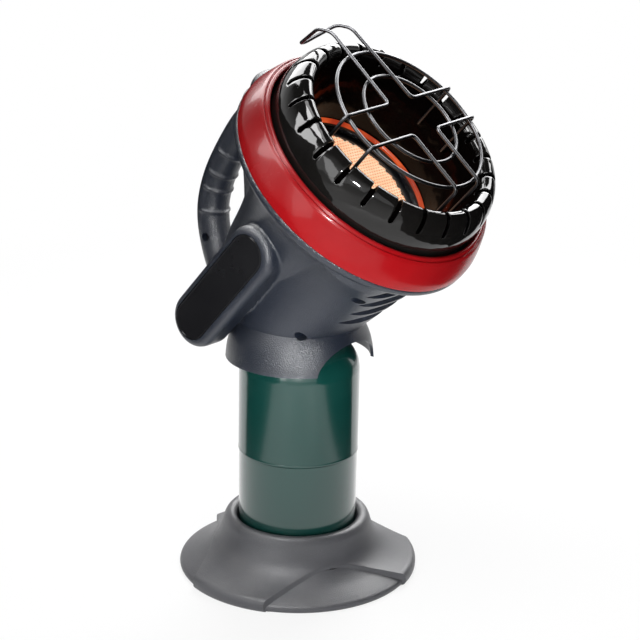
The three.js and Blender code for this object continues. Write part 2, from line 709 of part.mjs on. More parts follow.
const armRear = 50;
const regulatorBottom = 219 + fit;
const regulator = cut(
  join(solid(drum(23, regulatorBottom, 236, 24)), solid(drum(25, 231, 236, 24)),
    solid(block(-23, 23, 8, armRear, regulatorBottom, 232)), solid(drum(5.5, 230, 236.5, 16).translate(0, 30, 0))),
  solid(deepBar(4, -controlOffset, 34, 60, controlHeight + 3, 16)),
  solid(deepBar(4, controlOffset, 34, 60, controlHeight + 3, 16)),
);
add(heater, 'regulator_body', regulator, zinc);
const capProfile = [[0, 236.3], [21, 236.3], [21, 239], [18, 241.4], [7, 242.4], [6, 245], [0, 245]];
add(heater, 'regulator_cap', revolve(capProfile, coarse), zinc);
const jetStart = new THREE.Vector3(0, 0, -27 - fit).applyMatrix4(headFrame);
const tubeFoot = new THREE.Vector3(0, 30, 236.8);
const elbow = new THREE.Vector3(0, 30, headPivot - 30 * Math.tan(Math.PI / 2 - headTilt));
add(heater, 'gas_tube', wire([tubeFoot, elbow, jetStart], 2.6, 3, 8), brass);

// Controls: a push button that starts the heater, a smaller one that stops it, plungers and return springs

const buttons = [
  { name: 'start', x: -controlOffset, radius: 10, proud: 5, material: redPlastic },
  { name: 'off', x: controlOffset, radius: 7.5, proud: 4, material: blackPlastic },
];
const plungerHeight = controlHeight + 3;
for (const { name, x, radius, proud, material } of buttons) {
  const flange = rearFace - wall - fit;
  const cap = solid(deepBar(radius, x, flange - 3, rearFace + proud - 1, controlHeight, coarse));
  const crown = solid(deepBar(radius - 1.2, x, flange, rearFace + proud, controlHeight, coarse));
  const rim = solid(deepBar(radius + 1.6, x, flange - 3, flange, controlHeight, coarse));
  const stem = solid(deepBar(3, x, 63.3, flange - 1, plungerHeight, 12));
  add(heater, `${name}_button`, join(cap, crown, rim, stem), material);
  add(heater, `${name}_plunger`, deepBar(3.4, x, 40, 63, plungerHeight, 16), brass);
  add(heater, `${name}_spring`, spring(5.6, 0.7, 4, armRear + 1.2, 66.4, x, plungerHeight), steel);
}

add(heater, 'piezo_igniter', join(
  solid(deepBar(5.6, -controlOffset, 28, 52, 238, 20)),
  solid(deepBar(3.4, -controlOffset, 51, 60, 238, 16))), blackPlastic);
add(heater, 'tip_over_switch', block(24, 33, 24, 44, 221, 236), blackPlastic);

export default heater;
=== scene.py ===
# A portable propane heater on a one-pound gas cylinder that stands in a round foot.
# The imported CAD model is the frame; every size below is in millimetres and becomes metres in each mesh.
from math import acos, asin, atan2, cos, exp, hypot, pi, radians, sin, sqrt

import bmesh
import bpy
from mathutils import Matrix, Vector


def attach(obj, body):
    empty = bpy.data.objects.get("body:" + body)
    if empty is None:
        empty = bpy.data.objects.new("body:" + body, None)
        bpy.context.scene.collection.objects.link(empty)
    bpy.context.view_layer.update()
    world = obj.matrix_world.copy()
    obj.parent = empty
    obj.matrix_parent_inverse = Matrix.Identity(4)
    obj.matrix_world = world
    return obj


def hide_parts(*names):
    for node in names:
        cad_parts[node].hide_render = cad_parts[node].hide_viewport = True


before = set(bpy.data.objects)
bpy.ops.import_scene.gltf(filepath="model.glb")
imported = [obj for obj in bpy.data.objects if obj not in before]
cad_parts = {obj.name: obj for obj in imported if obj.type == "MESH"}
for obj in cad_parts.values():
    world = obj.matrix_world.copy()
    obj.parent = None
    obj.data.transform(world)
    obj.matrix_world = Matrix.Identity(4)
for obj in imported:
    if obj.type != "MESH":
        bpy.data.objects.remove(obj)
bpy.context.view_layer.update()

# The foot: one injection-moulded dish of charcoal plastic. Its skirt flows up into a rolled collar that
# grips the cylinder, three sunk lens panels run off its edge, and six ribs stiffen it underneath.

MM = 0.001


def smooth_line(points, per=8):
    """A centripetal Catmull-Rom line through the points, with that many steps from each to the next."""
    spots = [Vector(p) for p in points]
    spots = [spots[0] * 2 - spots[1]] + spots + [spots[-1] * 2 - spots[-2]]
    line = []
    for a, b, c, d in zip(spots, spots[1:], spots[2:], spots[3:]):
        t1 = max((b - a).length, 1e-6) ** 0.5
        t2 = t1 + max((c - b).length, 1e-6) ** 0.5
        t3 = t2 + max((d - c).length, 1e-6) ** 0.5
        for i in range(per):
            t = t1 + (t2 - t1) * i / per
            ab = a * ((t1 - t) / t1) + b * (t / t1)
            bc = b * ((t2 - t) / (t2 - t1)) + c * ((t - t1) / (t2 - t1))
            cd = c * ((t3 - t) / (t3 - t2)) + d * ((t - t2) / (t3 - t2))
            abc = ab * ((t2 - t) / t2) + bc * (t / t2)
            bcd = bc * ((t3 - t) / (t3 - t1)) + cd * ((t - t1) / (t3 - t1))
            line.append(abc * ((t2 - t) / (t2 - t1)) + bcd * ((t - t1) / (t2 - t1)))
    line.append(spots[-2])
    return line


def rounded(points, radius, steps=4):
    """A line of straight runs whose inner corners are eased, each by the radius given for it or for all."""
    line = [Vector(points[0])]
    for i in range(1, len(points) - 1):
        here, back, ahead = Vector(points[i]), Vector(points[i - 1]), Vector(points[i + 1])
        reach = radius.get(i, 0) if isinstance(radius, dict) else radius
        reach = min(reach, (back - here).length * 0.45, (ahead - here).length * 0.45)
        if reach <= 0:
            line.append(here)
            continue
        a = here + (back - here).normalized() * reach
        b = here + (ahead - here).normalized() * reach
        for k in range(steps + 1):
            t = k / steps
            line.append(a * (1 - t) ** 2 + here * (2 * t * (1 - t)) + b * t ** 2)
    line.append(Vector(points[-1]))
    return line


def grid_faces(rows, columns, wrap_rows, wrap_columns):
    """Quads between neighbours of a grid of vertices, row by row."""
    faces = []
    for i in range(rows if wrap_rows else rows - 1):
        for k in range(columns if wrap_columns else columns - 1):
            a, b = i * columns, ((i + 1) % rows) * columns
            n = (k + 1) % columns
            faces.append((a + k, a + n, b + n, b + k))
    return faces


def added(name, data):
    """A new object in the scene."""
    made = bpy.data.objects.new(name, data)
    bpy.context.scene.collection.objects.link(made)
    return made


def built(name, vertices, faces):
    """A mesh object, its millimetres turned into metres and its faces turned outwards."""
    mesh = bpy.data.meshes.new(name)
    mesh.from_pydata([tuple(v * MM) for v in vertices], [], faces)
    work = bmesh.new()
    work.from_mesh(mesh)
    bmesh.ops.remove_doubles(work, verts=work.verts, dist=1e-7)
    bmesh.ops.recalc_face_normals(work, faces=work.faces)
    work.to_mesh(mesh)
    work.free()
    return added(name, mesh)


def placed(piece, angle, material, body, node):
    """A piece smoothed but for the edges sharper than the angle, with its material, the body it rides on and the
    CAD node it stands for."""
    work = bmesh.new()
    work.from_mesh(piece.data)
    for face in work.faces:
        face.smooth = True
    for edge in work.edges:
        edge.smooth = len(edge.link_faces) != 2 or edge.calc_face_angle() < radians(angle)
    work.to_mesh(piece.data)
    work.free()
    piece.data.materials.clear()
    piece.data.materials.append(material)
    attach(piece, body)
    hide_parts(node)


def fill(tree, node, values):
    """The node's inputs set or, where the value is a socket, linked. A colour may be given without its alpha."""
    for key, value in values.items():
        if isinstance(value, bpy.types.NodeSocket):
            tree.links.new(value, node.inputs[key])
        elif node.inputs[key].type == "RGBA":
            node.inputs[key].default_value = (*value[:3], 1)
        else:
            node.inputs[key].default_value = value


def put(tree, kind, values=None, **settings):
    """A new node with its settings and inputs."""
    made = tree.nodes.new(kind)
    for key, value in settings.items():
        setattr(made, key, value)
    fill(tree, made, values or {})
    return made


def noise(tree, scale, detail=2.0, **more):
    """Noise laid on the object itself, as a value."""
    place = put(tree, "ShaderNodeTexCoord").outputs["Object"]
    return put(tree, "ShaderNodeTexNoise", {"Vector": place, "Scale": scale, "Detail": detail, **more}).outputs["Fac"]


def effect(name, inputs, outputs):
    """An empty shader group, its inputs given with their defaults: its tree, input values and output sockets."""
    tree = bpy.data.node_groups.new(name, "ShaderNodeTree")
    for key, value in inputs.items():
        socket = tree.interface.new_socket(key, in_out="INPUT", socket_type="NodeSocketFloat")
        socket.default_value = value
    for key in outputs:
        tree.interface.new_socket(key, in_out="OUTPUT", socket_type="NodeSocketFloat")
    return tree, tree.nodes.new("NodeGroupInput").outputs, tree.nodes.new("NodeGroupOutput").inputs


def ranged(tree, value, low, high, to_low=0.0, to_high=1.0):
    """The value with low..high mapped onto to_low..to_high and held there."""
    return put(tree, "ShaderNodeMapRange", {
        "Value": value, "From Min": low, "From Max": high, "To Min": to_low, "To Max": to_high,
    }).outputs["Result"]


def sums(tree, operation, a, b):
    """Two values added, multiplied and so on."""
    return put(tree, "ShaderNodeMath", {0: a, 1: b}, operation=operation).outputs["Value"]


def blended(tree, factor, a, b):
    """Colour a where the factor is 0 and colour b where it is 1."""
    return put(tree, "ShaderNodeMix", {0: factor, 6: a, 7: b}, data_type="RGBA").outputs[2]


# moulded grain: the fine leathery sparkle of an etched mould, as a height
grain, given, gives = effect("moulded_grain", {"Size": 900.0}, ["Height", "Speck"])
place = put(grain, "ShaderNodeTexCoord").outputs["Object"]
fine = put(grain, "ShaderNodeTexNoise", {"Vector": place, "Scale": given["Size"], "Detail": 2.0}).outputs["Fac"]
pits = put(grain, "ShaderNodeTexVoronoi", {"Vector": place, "Scale": given["Size"]}).outputs["Distance"]
grain.links.new(sums(grain, "ADD", sums(grain, "MULTIPLY", pits, 0.6), fine), gives["Height"])
grain.links.new(ranged(grain, fine, 0.56, 0.72), gives["Speck"])

# handling: slow patches of polish and of dullness, as a roughness
handling, given, gives = effect("handling", {"Size": 14.0, "Polished": 0.3, "Dull": 0.5}, ["Roughness", "Patches"])
patches = ranged(handling, noise(handling, given["Size"], 5.0, Roughness=0.62), 0.32, 0.68)
span = sums(handling, "SUBTRACT", given["Dull"], given["Polished"])
handling.links.new(sums(handling, "ADD", given["Polished"], sums(handling, "MULTIPLY", patches, span)),
                   gives["Roughness"])
handling.links.new(patches, gives["Patches"])

# worn edges: convex edges rubbed paler, broken up by noise, as a mask
worn, given, gives = effect("worn_edges", {"Start": 0.53, "End": 0.62}, ["Mask"])
point = put(worn, "ShaderNodeNewGeometry").outputs["Pointiness"]
edge = ranged(worn, point, given["Start"], given["End"])
worn.links.new(sums(worn, "MULTIPLY", edge, ranged(worn, noise(worn, 90.0, 4.0), 0.35, 0.65)), gives["Mask"])

# dust: a little settles on faces that look up, as a mask
dust, given, gives = effect("settled_dust", {"Amount": 0.1}, ["Mask"])
up = put(dust, "ShaderNodeSeparateXYZ", {0: put(dust, "ShaderNodeNewGeometry").outputs["Normal"]}).outputs["Z"]
level = sums(dust, "MULTIPLY", ranged(dust, up, 0.35, 1.0), ranged(dust, noise(dust, 40.0, 6.0), 0.35, 0.7))
dust.links.new(sums(dust, "MULTIPLY", level, given["Amount"]), gives["Mask"])


def used(tree, group, **values):
    """A group placed in a material with its own values."""
    return put(tree, "ShaderNodeGroup", values, node_tree=group).outputs


def finish(name):
    """A new node material: its tree and its shader."""
    made = bpy.data.materials.new(name)
    made.use_nodes = True
    return made, made.node_tree, made.node_tree.nodes["Principled BSDF"]


def bumped(tree, shader, height, distance):
    """The height, that deep in metres, as the shader's relief."""
    bump = put(tree, "ShaderNodeBump", {"Height": height, "Distance": distance, "Strength": 1.0})
    tree.links.new(bump.outputs["Normal"], shader.inputs["Normal"])


def plastic(name, colour, pale, polished, dull, depth, size=900.0, index=1.5):
    """Grained moulded plastic: a body colour, paler worn edges and a little dust."""
    made, tree, shader = finish(name)
    skin = used(tree, grain, Size=size)
    feel = used(tree, handling, Polished=polished, Dull=dull)
    body = blended(tree, feel["Patches"], [c * 0.92 for c in colour], [c * 1.06 for c in colour])
    flecked = blended(tree, sums(tree, "MULTIPLY", skin["Speck"], 0.22), body, pale)
    edged = blended(tree, sums(tree, "MULTIPLY", used(tree, worn)["Mask"], 0.4), flecked, pale)
    dusty = blended(tree, used(tree, dust, Amount=0.08)["Mask"], edged, (0.35, 0.34, 0.32))
    fill(tree, shader, {"Base Color": dusty, "Roughness": feel["Roughness"], "IOR": index})
    bumped(tree, shader, skin["Height"], depth)
    return made


foot_plastic = plastic("foot_plastic", (0.066, 0.067, 0.075), (0.15, 0.15, 0.16), 0.36, 0.46, 0.00012, 1300.0)

collar = [(62.4, 36.0), (60.6, 41.6), (58.6, 44.9), (55.8, 46.2), (52.6, 45.7), (50.7, 44.2)]
raised = smooth_line([(99, 0), (100, 1.4), (100.2, 6.4), (98.6, 9.4), (94, 11.2), (88, 13.4), (79, 17.4),
                      (71.5, 22.2), (66, 28.4)] + collar, 6)
sunk = smooth_line([(97, 0), (97.7, 0.8), (97.9, 2.4), (97, 4.2), (93.4, 6.4), (88, 9.2), (79, 14.0),
                    (71.5, 19.8), (66, 26.4)] + collar, 6)
# each lens panel is what a wide circle, centred well outside the foot, takes from one sector of it
lens_centre, lens_radius, lens_first = 284.6, 216, radians(-25.6)
sector, across, edge_half = radians(120), 40, 0.55
columns = 3 * (4 * across + 8)
vertices = []
for high, low in zip(raised, sunk):
    r = max(high[0], lens_centre - lens_radius + 0.02)
    reach = acos((r * r + lens_centre ** 2 - lens_radius ** 2) / (2 * r * lens_centre))
    soft = edge_half * lens_radius / (r * lens_centre * sin(reach))
    marks = [(-sector / 2, 0, 0), (-reach - soft, across, 0), (-reach + soft, across + 4, 1),
             (reach - soft, 3 * across + 4, 1), (reach + soft, 3 * across + 8, 0), (sector / 2, 4 * across + 8, 0)]
    for lens in range(3):
        middle = lens_first + lens * sector
        for k in range(4 * across + 8):
            for (a0, k0, w0), (a1, k1, w1) in zip(marks, marks[1:]):
                if k0 <= k < k1:
                    break
            t = (k - k0) / (k1 - k0)
            share = w0 + (w1 - w0) * (t * t * (3 - 2 * t))
            angle = middle + a0 + (a1 - a0) * t
            spot = high.lerp(low, share)
            vertices.append(Vector((spot[0] * sin(angle), -spot[0] * cos(angle), spot[1])))
socket = rounded([(50.7, 44.2), (50.4, 40), (50.4, 3), (36.4, 3), (36.4, 6), (28.6, 6), (28.6, 3), (20, 3)], 0.5)
under = rounded([(20, 0), (55.4, 0), (55.4, 41.6), (58.6, 38), (63.2, 24.4), (69, 16.4), (77, 10.6), (92.4, 3.6),
                 (92.4, 0)], 0.6)
last_ring = vertices[-columns:]
for r, z in socket[1:] + under:
    vertices += [Vector((v.x, v.y, 0)).normalized() * r + Vector((0, 0, z)) for v in last_ring]
floor_row = len(raised) + len(socket) - 2
faces = [f for f in grid_faces(len(vertices) // columns, columns, True, True) if f[0] // columns != floor_row]
# two discs close the socket's floor and the underside of the hub
faces += [tuple(range(row * columns, (row + 1) * columns)) for row in (floor_row, floor_row + 1)]
for rib in range(6):
    turn = Matrix.Rotation(radians(60 * rib), 3, "Z")
    outline = [(54, 0.4), (93, 0.4), (93, 3.6), (78, 10.6), (64, 24), (56, 39), (54, 40)]
    start = len(vertices)
    for side in (-0.9, 0.9):
        vertices += [turn @ Vector((r, side, z)) for r, z in outline]
    count = len(outline)
    faces.append(tuple(start + i for i in range(count)))
    faces.append(tuple(start + count + i for i in reversed(range(count))))
    faces += [(start + i, start + (i + 1) % count, start + count + (i + 1) % count, start + count + i)
              for i in range(count)]
placed(built("foot", vertices, faces), 40, foot_plastic, "foot", "base_foot")

# The gas cylinder: two cups drawn from steel sheet, lapped and brazed at the seam, with green gloss enamel.
# The brass neck carries the valve core, and a hexagonal relief valve stands beside it.


def polar(r, angle, z):
    """A point at that radius, angle and height."""
    return Vector((r * cos(angle), r * sin(angle), z))


def turned(profile, segments):
    """A profile of (radius, height) turned about Z. It closes on itself, or on the axis where both ends lie there."""
    on_axis = abs(profile[0][0]) < 1e-6 and abs(profile[-1][0]) < 1e-6
    body = list(profile[1:-1] if on_axis else profile)
    vertices = [polar(r, 2 * pi * k / segments, z) for r, z in body for k in range(segments)]
    faces = grid_faces(len(body), segments, not on_axis, True)
    if on_axis:
        last = (len(body) - 1) * segments
        vertices += [Vector((0, 0, profile[0][1])), Vector((0, 0, profile[-1][1]))]
        for k in range(segments):
            n = (k + 1) % segments
            faces.append((n, k, len(vertices) - 2))
            faces.append((last + k, last + n, len(vertices) - 1))
    return vertices, faces


def enamel(name, deep, light, size, polished, dull, index):
    """A glossy skin whose colour and polish drift in slow patches: its material, tree, shader and colour."""
    made, tree, shader = finish(name)
    feel = used(tree, handling, Size=size, Polished=polished, Dull=dull)
    fill(tree, shader, {"Roughness": feel["Roughness"], "IOR": index})
    return made, tree, shader, blended(tree, feel["Patches"], deep, light)


green_enamel, tree, shader, tone = enamel(
    "green_enamel", (0.0022, 0.036, 0.030), (0.003, 0.041, 0.034), 9.0, 0.16, 0.27, 1.5)
rubbed = sums(tree, "MULTIPLY", used(tree, worn, Start=0.55, End=0.7)["Mask"], 0.3)
fill(tree, shader, {"Base Color": blended(tree, rubbed, tone, (0.10, 0.13, 0.12)), "Coat Weight": 0.9,
                    "Coat Roughness": 0.12})
bumped(tree, shader, noise(tree, 160.0), 0.00008)

upper = rounded([(49.1, 103.2), (49.6, 103.6), (49.6, 104.6), (49.3, 105.8), (49.3, 174.6), (48.0, 182), (44, 189),
                 (38.3, 193.7), (26, 196.7), (13, 197)], {1: 0.3, 2: 0.4, 4: 2, 5: 3, 6: 4, 7: 5, 8: 4})
upper += rounded([(13, 195.8), (26, 195.4), (37.6, 192.4), (43, 188), (46.8, 181.6), (48.1, 174), (48.1, 103.4)],
                 {1: 3, 2: 3, 3: 3, 4: 3, 5: 2})
lower = rounded([(0, 9.4), (22, 8.6), (30, 6.4), (37.6, 6.4), (44.6, 9.6), (48, 15.6), (48.8, 22), (48.8, 102),
                 (48.9, 102.8), (47.8, 103), (47.8, 112), (46.6, 112), (46.6, 102)],
                {1: 4, 2: 3, 3: 3, 4: 4, 5: 4, 6: 3})
lower += rounded([(46.6, 102), (47.6, 100), (47.6, 22.4), (43.9, 10.9), (31.2, 7.6), (0, 10.6)], 1.5)[1:]
for name, line in (("upper_cup", upper), ("lower_cup", lower)):
    placed(built(name, *turned(line, 128)), 32, green_enamel, "cylinder", "cylinder_" + name)


def metal(name, colour, low, high, size=260.0, depth=0.00002):
    """Bare or plated metal with fine lay marks and patches of tarnish."""
    made, tree, shader = finish(name)
    feel = used(tree, handling, Size=30.0, Polished=low, Dull=high)
    tone = blended(tree, feel["Patches"], [c * 0.75 for c in colour], colour)
    fill(tree, shader, {"Base Color": tone, "Roughness": feel["Roughness"], "Metallic": 1.0})
    bumped(tree, shader, noise(tree, size, 3.0), depth)
    return made


brass = metal("turned_brass", (0.55, 0.38, 0.14), 0.22, 0.38)

# the neck's thread is one ridge wound up it, faded out at both ends
crest, root, bottom, top, pitch, around = 12.4, 11.7, 200.2, 212.4, 1.27, 48
rows = []
height = bottom
while height <= top + 1e-6:
    rows.append([])
    for k in range(around):
        angle = 2 * pi * k / around
        ridge = 1 - abs(2 * ((height / pitch - k / around) % 1) - 1)
        fade = min(1, (height - bottom) / pitch, (top - height) / pitch)
        r = root + (crest - root) * min(1, 1.25 * ridge) * max(0, fade)
        rows[-1].append(polar(r, angle, height))
    height += pitch / 8
for r, z in [(11.4, 213), (9.4, 213), (8.8, 212.4), (8.8, 209), (4.6, 208), (4.6, 192), (12.4, 192), (12.4, 199.6)]:
    rows.append([Vector((v.x, v.y, 0)).normalized() * r + Vector((0, 0, z)) for v in rows[0]])
neck = built("valve_neck", [v for row in rows for v in row], grid_faces(len(rows), around, True, True))
placed(neck, 40, brass, "cylinder", "cylinder_valve_neck")


def dress(material, *nodes):
    """CAD nodes whose shape is right keep it and get a material."""
    for name in nodes:
        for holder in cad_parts[name].material_slots:
            holder.material = material


dress(brass, "cylinder_valve_core", "cylinder_relief_valve")

# The housing: two clamshell halves moulded in charcoal plastic and screwed together on the middle plane.
# The bell carries the head, the barrel swells down to the shroud, pods stand left and right, the handle is behind.

HEAD = Matrix.Translation((0, 0, 0.2749)) @ Matrix.Rotation(radians(42), 4, "X")


def head_spot(x, v, s):
    """A point of the head's frame, in millimetres of the object's frame."""
    return (HEAD @ (Vector((x, v, s)) * MM)) / MM


def lofted(sections):
    """Closed sections joined in order, with flat ends."""
    sides = len(sections[0])
    vertices = [v for section in sections for v in section]
    faces = grid_faces(len(sections), sides, False, True)
    faces.append(tuple(reversed(range(sides))))
    faces.append(tuple(len(vertices) - sides + k for k in range(sides)))
    return vertices, faces


def swept(route, radius, sides):
    """A bar along a route of points; radius(step, angle) gives its section."""
    sections = []
    normal = Vector((1, 0, 0))
    for i, point in enumerate(route):
        along = (route[min(i + 1, len(route) - 1)] - route[max(i - 1, 0)]).normalized()
        normal = (normal - along * normal.dot(along)).normalized()
        side = along.cross(normal)
        turns = [2 * pi * k / sides for k in range(sides)]
        sections.append([point + normal * (radius(i, a) * cos(a)) + side * (radius(i, a) * sin(a))
                         for a in turns])
    return lofted(sections)


bell = rounded([(0, -63), (36, -58), (47, -47), (52.5, -30), (58.5, 5), (68.5, 36), (81, 58.5), (96, 73),
                (105, 77.2), (107.8, 80.8), (107.4, 85.3), (0, 85.3)],
               {1: 4, 2: 5, 3: 8, 4: 14, 5: 12, 6: 12, 7: 5, 8: 2.5, 9: 1.5})


def barrel(inset, bottom, reach, sides=128, levels=24):
    """Rings between a level circle and a tilted, boxy oval under the bell; the sides flare as they near it."""
    sections = []
    for i in range(levels + 1):
        t = reach * i / levels
        flare = 1 + 0.45 * min(t, 1) ** 2.85
        section = []
        for k in range(sides):
            angle = 2 * pi * k / sides
            out = Vector((cos(angle), sin(angle), 0))
            boxy = (abs(out.x) ** 3.5 + abs(out.y) ** 3.5) ** (-1 / 3.5)
            low = out * (50.5 - inset) + Vector((0, 0, bottom))
            high = head_spot(out.x * boxy * (50 - inset), out.y * boxy * (90 - inset), 62)
            spot = low.lerp(high, t)
            spot.x *= flare
            section.append(spot)
        sections.append(section)
    return lofted(sections)


def pod_outline(half_width, centres, steps=28):
    """A stadium about two centres, given as the shift across the head's axis and the places along it."""
    shift, rear, front = centres
    return [(shift + half_width * cos(start + pi * i / steps),
             middle + half_width * sin(start + pi * i / steps))
            for start, middle in ((pi, rear), (0, front)) for i in range(steps + 1)]


pod_centres, label_centres = (-1.3, -75.2, 10.6), (-0.1, -76.6, 9.8)


def pod(half_width, x0, x1, edge, centres=pod_centres):
    """A stadium across the body with its two outer edges rounded over."""
    ends = [(x0 + edge * (1 - sin(a)), half_width - edge * (1 - cos(a)))
            for a in [pi / 2 * (1 - i / 6) for i in range(7)]]
    ends += [(x1 - (x - x0), w) for x, w in reversed(ends)]
    return lofted([[head_spot(x, v, s) for v, s in pod_outline(w, centres)] for x, w in ends])


handle_route = smooth_line([(0, 20, 380), (0, 38, 381), (0, 56, 367), (0, 74, 343), (0, 88, 318), (0, 94.6, 297),
                            (0, 95.5, 281), (0, 92, 262), (0, 85, 243), (0, 74, 222)], 34)
handle_radius, rib_heights = 13.4, (341, 323, 309, 289)


def grip(step, angle):
    """The handle's radius: narrow raised ribs on the side where the fingers close, with hollows between them."""
    spot = handle_route[step]
    if spot.y < 70:
        return handle_radius
    inner = cos(angle - pi / 2)
    wrap = min(1, max(0, (inner + 0.45) / 0.4))
    ridge = sum(exp(-((spot.z - z) / 1.1) ** 2) for z in rib_heights)
    hollow = 0.5 * max(0, inner) if rib_heights[-1] < spot.z < rib_heights[0] else 0
    return handle_radius + 1.5 * ridge * wrap - hollow


def ball(centre, radius):
    """A ball, for the knuckle where the handle meets the bell."""
    arc = [radians(a) for a in range(-90, 91, 6)]
    vertices, faces = turned([(radius * cos(a), radius * sin(a)) for a in arc], 60)
    return [v + Vector(centre) for v in vertices], faces


def control_block(inset=0.0):
    """The box at the back that holds the two buttons, its sides rounded over."""
    outline = rounded([(24, 198), (72, 198), (78, 205), (78, 238), (70, 250), (60, 258), (24, 258)], 3)
    half, middle_y, half_y, middle_z, half_z = 29 - inset, 51, 27, 228, 30
    sections = []
    for x, shrink in [(-half, 2.0), (-half + 0.6, 0.8), (-half + 2, 0), (half - 2, 0), (half - 0.6, 0.8), (half, 2.0)]:
        less = shrink + inset
        sections.append([Vector((x, y - less * (y - middle_y) / half_y, z - less * (z - middle_z) / half_z))
                         for y, z in outline])
    return lofted(sections)


def joined(name, parts):
    """Several closed forms in one mesh object."""
    vertices, faces = [], []
    for more_vertices, more_faces in parts:
        start = len(vertices)
        vertices += more_vertices
        faces += [tuple(start + i for i in face) for face in more_faces]
    return built(name, vertices, faces)


def in_head(form):
    """A form of the head's frame, turned to lean with it."""
    vertices, faces = form
    return [head_spot(*v) for v in vertices], faces


def settled(piece):
    """The piece with its modifiers applied."""
    graph = bpy.context.evaluated_depsgraph_get()
    mesh = bpy.data.meshes.new_from_object(piece.evaluated_get(graph), depsgraph=graph)
    piece.modifiers.clear()
    old = piece.data
    piece.data = mesh
    bpy.data.meshes.remove(old)
    return piece


def cut(piece, tool, operation="DIFFERENCE"):
    """The piece less the tool, or with it, or what both share. The tool is used up."""
    change = piece.modifiers.new("cut", "BOOLEAN")
    change.operation, change.solver, change.object = operation, "MANIFOLD", tool
    settled(piece)
    bpy.data.objects.remove(tool)
    return piece


def fused(name, parts, voxel, smoothing):
    """Closed forms melted into one skin, its inner corners softened as a mould's are."""
    piece = joined(name, parts)
    melt = piece.modifiers.new("melt", "REMESH")
    melt.mode, melt.voxel_size = "VOXEL", voxel * MM
    soften = piece.modifiers.new("soften", "SMOOTH")
    soften.factor, soften.iterations = 0.5, smoothing
    return settled(piece)


body_plastic = plastic(
    "body_plastic", (0.0085, 0.012, 0.021), (0.06, 0.072, 0.10), 0.28, 0.36, 0.0003, 1150.0, 1.75)

shell = fused("housing", [
    in_head(turned(bell, 128)),
    barrel(0, 212, 1.15),
    pod(18, -56, 56, 0.5), pod(22.7, -74, -48, 6.2), pod(22.7, 48, 74, 6.2),
    control_block(),
    swept(handle_route, grip, 48),
    ball((0, 34, 394), 16.5),
], 1.0, 3)

bell_inside = rounded([(0, -60.2), (37, -52), (49, -32), (55.6, 5), (65, 36), (79, 61), (91, 73.8), (96, 79.9),
                       (104.9, 79.9), (104.9, 88), (0, 88)], {1: 4, 2: 6, 3: 10, 4: 10, 5: 8, 6: 1, 7: 1})
for form in (in_head(turned(bell_inside, 96)), barrel(2.5, 217, 1, 96, 12),
             turned([(0, 209), (45.5, 209), (45.5, 224), (0, 224)], 96), pod(15.4, -71.5, 71.5, 1.0),
             control_block(2.5)):
    cut(shell, built("hollow", *form))

shroud = rounded([(60.2, 183), (59.9, 187), (59.2, 193), (57, 202.4), (53.6, 210), (49.4, 216), (44, 219), (40, 219),
                  (40, 209), (19, 209), (19, 206.5), (51.6, 206.5), (54.4, 201.6), (56.7, 193), (57.5, 187),
                  (57.6, 183)], {1: 2, 2: 3, 3: 4, 4: 4, 5: 3, 6: 1, 11: 2, 12: 2, 13: 3, 14: 2})
skirt = built("skirt", *turned(shroud, 160))
arch = [Vector((36 * cos(pi * i / 40), 0, 180 + 25.4 * sin(pi * i / 40))) for i in range(41)]
cut(skirt, built("arch", *lofted([[v + Vector((0, -80, 0)) for v in arch], [v + Vector((0, -20, 0)) for v in arch]])))
cut(shell, skirt, "UNION")


def cross_turned(profile, y, z):
    """A profile of (radius, x) turned about a line along X."""
    vertices, faces = turned(profile, 32)
    return [Vector((v.z, v.x + y, v.y + z)) for v in vertices], faces


def cross_bar(radius, x0, x1, y, z):
    """A round bar along X."""
    return cross_turned([(0, x0), (radius, x0), (radius, x1), (0, x1)], y, z)


def deep_turned(profile, x, z):
    """A profile of (radius, y) turned about a line along Y."""
    vertices, faces = turned(profile, 48)
    return [Vector((v.x + x, v.z, v.y + z)) for v in vertices], faces


def louvred(outline, half_width):
    """Prisms across the chin, one a louvre; the outline runs up the chin from its lower edge and out of the skin."""
    lean = Matrix.Rotation(atan2(0.6445, -0.7647), 3, "X")
    forms = []
    for louvre in range(4):
        spot = Vector((0, -67, 226)) + lean @ Vector((0, 15.8 * louvre, 0))
        forms.append(lofted([[lean @ Vector((x, u, v)) + spot for u, v in outline]
                             for x in (-half_width, half_width)]))
    return joined("louvres", forms)


def trimmed(piece):
    """The part of a piece that lies within the belly."""
    return cut(piece, built("belly", *barrel(0, 212, 1.15)), "INTERSECT")


screw_places = {"handle_screw": (92.5, 267, 7), "chin_screw": (-91, 256.5, 12), "shroud_screw": (-34, 215.4, 14)}
fin = [(0, -8.4), (15, -1.7), (15, 0.9), (0, -5.8)]
gap = [(0, -5.8), (15, 0.9), (15, 6), (0, 6)]
cut(shell, trimmed(louvred(fin, 40)), "UNION")
columns = [cross_bar(radius, -60, 60, *screw_places[name][:2])
           for name, radius in (("chin_screw", 6.4), ("shroud_screw", 5.6))]
cut(shell, trimmed(joined("columns", columns)), "UNION")
cut(shell, cut(louvred(gap, 44), built("bell", *in_head(turned(bell, 128)))))
bores = [cross_bar(3.8, -90, -seat, y, z) for y, z, seat in screw_places.values()]
bores += [pod(16.25, *ends, 0.05, label_centres) for ends in ((-80, -72.8), (72.8, 80))]
bores += [deep_turned([(0, 66), (r, 66), (r, 90), (0, 90)], x, 222) for r, x in ((10.5, -12.6), (8, 12.6))]
cut(shell, joined("bores", bores))


def block(xs, ys, zs):
    """A box, given by its ends along X, Y and Z."""
    corners = [Vector((x, y, z)) for x in xs for y in ys for z in zs]
    return corners, [(0, 1, 3, 2), (4, 6, 7, 5), (0, 4, 5, 1), (2, 3, 7, 6), (0, 2, 6, 4), (1, 5, 7, 3)]


